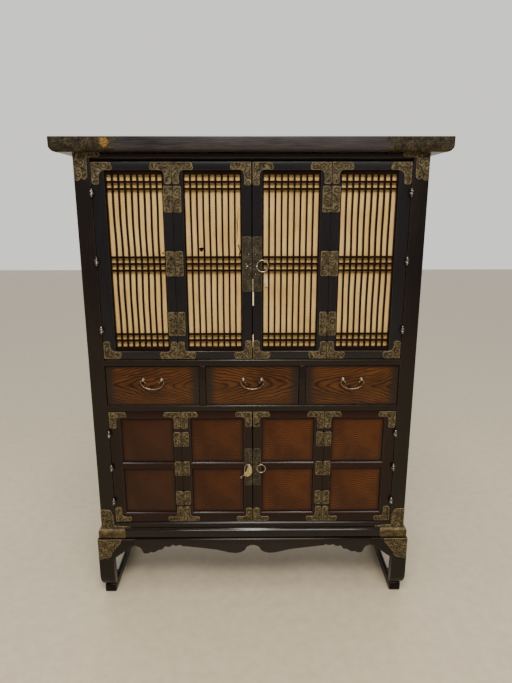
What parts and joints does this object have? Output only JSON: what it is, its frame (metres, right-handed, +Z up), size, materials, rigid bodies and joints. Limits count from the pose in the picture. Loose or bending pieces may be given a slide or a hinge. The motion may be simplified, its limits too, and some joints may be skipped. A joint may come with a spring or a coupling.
{
  "type": "display cabinet",
  "caption": "Tall dark wood cabinet on bracket legs, with folding lattice doors above a row of drawers and folding panelled doors below, bound in aged brass.",
  "frame": {"origin": "on the floor under the middle of the whole bounding box", "axes": "+Z up, the doors and drawers face -Y, +X towards the right as seen from the front"},
  "size_m": [1.057, 0.43, 1.3876],
  "materials": {
    "dark_wood": "near-black brown lacquer, worn bright along its edges",
    "carcass_wood": "dark brown stain, dull",
    "lattice_wood": "near-black, satin",
    "drawer_wood": "orange-brown figured wood, polished",
    "panel_wood": "red-brown wavy grain, polished",
    "paper": "aged cream paper, matte",
    "brass": "aged brass, satin"
  },
  "bodies": {
    "carcass": {"top_board": "dark_wood", "front_post_left": "dark_wood", "front_post_right": "dark_wood", "back_post_left": "dark_wood", "back_post_right": "dark_wood", "bottom_rail": "dark_wood", "drawer_rail": "dark_wood", "upper_rail": "dark_wood", "top_rail": "dark_wood", "side_wall_left": "carcass_wood", "side_wall_right": "carcass_wood", "back_wall": "carcass_wood", "cabinet_floor": "carcass_wood", "drawer_floor": "carcass_wood", "upper_floor": "carcass_wood", "drawer_divider_left": "dark_wood", "drawer_divider_right": "dark_wood", "base_frame": "dark_wood", "leg_front_left": "dark_wood", "leg_front_right": "dark_wood", "leg_back_left": "dark_wood", "leg_back_right": "dark_wood", "front_apron": "dark_wood", "side_apron_left": "dark_wood", "side_apron_right": "dark_wood", "floor_runner_left": "dark_wood", "floor_runner_right": "dark_wood"},
    "upper_left_outer_leaf": {"upper_left_outer_frame": "dark_wood", "upper_left_outer_lattice": "lattice_wood", "upper_left_outer_paper": "paper"},
    "upper_left_inner_leaf": {"upper_left_inner_frame": "dark_wood", "upper_left_inner_lattice": "lattice_wood", "upper_left_inner_paper": "paper"},
    "upper_right_outer_leaf": {"upper_right_outer_frame": "dark_wood", "upper_right_outer_lattice": "lattice_wood", "upper_right_outer_paper": "paper"},
    "upper_right_inner_leaf": {"upper_right_inner_frame": "dark_wood", "upper_right_inner_lattice": "lattice_wood", "upper_right_inner_paper": "paper"},
    "lower_left_outer_leaf": {"lower_left_outer_frame": "dark_wood", "lower_left_outer_low_panel": "panel_wood", "lower_left_outer_high_panel": "panel_wood"},
    "lower_left_inner_leaf": {"lower_left_inner_frame": "dark_wood", "lower_left_inner_low_panel": "panel_wood", "lower_left_inner_high_panel": "panel_wood"},
    "lower_right_outer_leaf": {"lower_right_outer_frame": "dark_wood", "lower_right_outer_low_panel": "panel_wood", "lower_right_outer_high_panel": "panel_wood"},
    "lower_right_inner_leaf": {"lower_right_inner_frame": "dark_wood", "lower_right_inner_low_panel": "panel_wood", "lower_right_inner_high_panel": "panel_wood"},
    "left_drawer_box": {"drawer_left": "drawer_wood"},
    "left_drawer_bail": {"bail_left": "brass"},
    "middle_drawer_box": {"drawer_middle": "drawer_wood"},
    "middle_drawer_bail": {"bail_middle": "brass"},
    "right_drawer_box": {"drawer_right": "drawer_wood"},
    "right_drawer_bail": {"bail_right": "brass"},
    "upper_pull_ring": {"upper_ring": "brass"},
    "lower_pull_ring": {"lower_ring": "brass"},
    "hanging_padlock": {"padlock": "brass"}
  },
  "joints": [
    {"name": "upper_left_post_hinge", "type": "hinge", "parent": "carcass", "child": "upper_left_outer_leaf", "pos_m": [-0.4305, -0.1903, 0.7813], "axis": [0, 0, -1], "range_deg": [0, 95]},
    {"name": "upper_left_fold_hinge", "type": "hinge", "parent": "upper_left_outer_leaf", "child": "upper_left_inner_leaf", "pos_m": [-0.2155, -0.1859, 0.7813], "axis": [0, 0, -1], "range_deg": [0, 160]},
    {"name": "upper_right_post_hinge", "type": "hinge", "parent": "carcass", "child": "upper_right_outer_leaf", "pos_m": [0.4305, -0.1903, 0.7813], "axis": [0, 0, 1], "range_deg": [0, 95]},
    {"name": "upper_right_fold_hinge", "type": "hinge", "parent": "upper_right_outer_leaf", "child": "upper_right_inner_leaf", "pos_m": [0.2155, -0.1859, 0.7813], "axis": [0, 0, 1], "range_deg": [0, 160]},
    {"name": "lower_left_post_hinge", "type": "hinge", "parent": "carcass", "child": "lower_left_outer_leaf", "pos_m": [-0.4305, -0.1903, 0.2503], "axis": [0, 0, -1], "range_deg": [0, 95]},
    {"name": "lower_left_fold_hinge", "type": "hinge", "parent": "lower_left_outer_leaf", "child": "lower_left_inner_leaf", "pos_m": [-0.2155, -0.1859, 0.2503], "axis": [0, 0, -1], "range_deg": [0, 160]},
    {"name": "lower_right_post_hinge", "type": "hinge", "parent": "carcass", "child": "lower_right_outer_leaf", "pos_m": [0.4305, -0.1903, 0.2503], "axis": [0, 0, 1], "range_deg": [0, 95]},
    {"name": "lower_right_fold_hinge", "type": "hinge", "parent": "lower_right_outer_leaf", "child": "lower_right_inner_leaf", "pos_m": [0.2155, -0.1859, 0.2503], "axis": [0, 0, 1], "range_deg": [0, 160]},
    {"name": "left_drawer_slide", "type": "slide", "parent": "carcass", "child": "left_drawer_box", "axis": [0, -1, 0], "range_m": [0, 0.24]},
    {"name": "left_bail_hinge", "type": "hinge", "parent": "left_drawer_box", "child": "left_drawer_bail", "pos_m": [-0.2935, -0.189, 0.7183], "axis": [-1, 0, 0], "range_deg": [0, 95]},
    {"name": "middle_drawer_slide", "type": "slide", "parent": "carcass", "child": "middle_drawer_box", "axis": [0, -1, 0], "range_m": [0, 0.24]},
    {"name": "middle_bail_hinge", "type": "hinge", "parent": "middle_drawer_box", "child": "middle_drawer_bail", "pos_m": [0, -0.189, 0.7183], "axis": [-1, 0, 0], "range_deg": [0, 95]},
    {"name": "right_drawer_slide", "type": "slide", "parent": "carcass", "child": "right_drawer_box", "axis": [0, -1, 0], "range_m": [0, 0.24]},
    {"name": "right_bail_hinge", "type": "hinge", "parent": "right_drawer_box", "child": "right_drawer_bail", "pos_m": [0.2935, -0.189, 0.7183], "axis": [-1, 0, 0], "range_deg": [0, 95]},
    {"name": "upper_ring_hinge", "type": "hinge", "parent": "upper_right_inner_leaf", "child": "upper_pull_ring", "pos_m": [0.013, -0.1878, 1.0503], "axis": [0, 0, -1], "range_deg": [0, 75]},
    {"name": "lower_ring_hinge", "type": "hinge", "parent": "lower_right_inner_leaf", "child": "lower_pull_ring", "pos_m": [0.013, -0.1878, 0.4333], "axis": [0, 0, -1], "range_deg": [0, 75]},
    {"name": "padlock_hinge", "type": "hinge", "parent": "lower_left_inner_leaf", "child": "hanging_padlock", "pos_m": [-0.013, -0.1878, 0.446], "axis": [-1, 0, 0], "range_deg": [0, 30]}
  ]
}
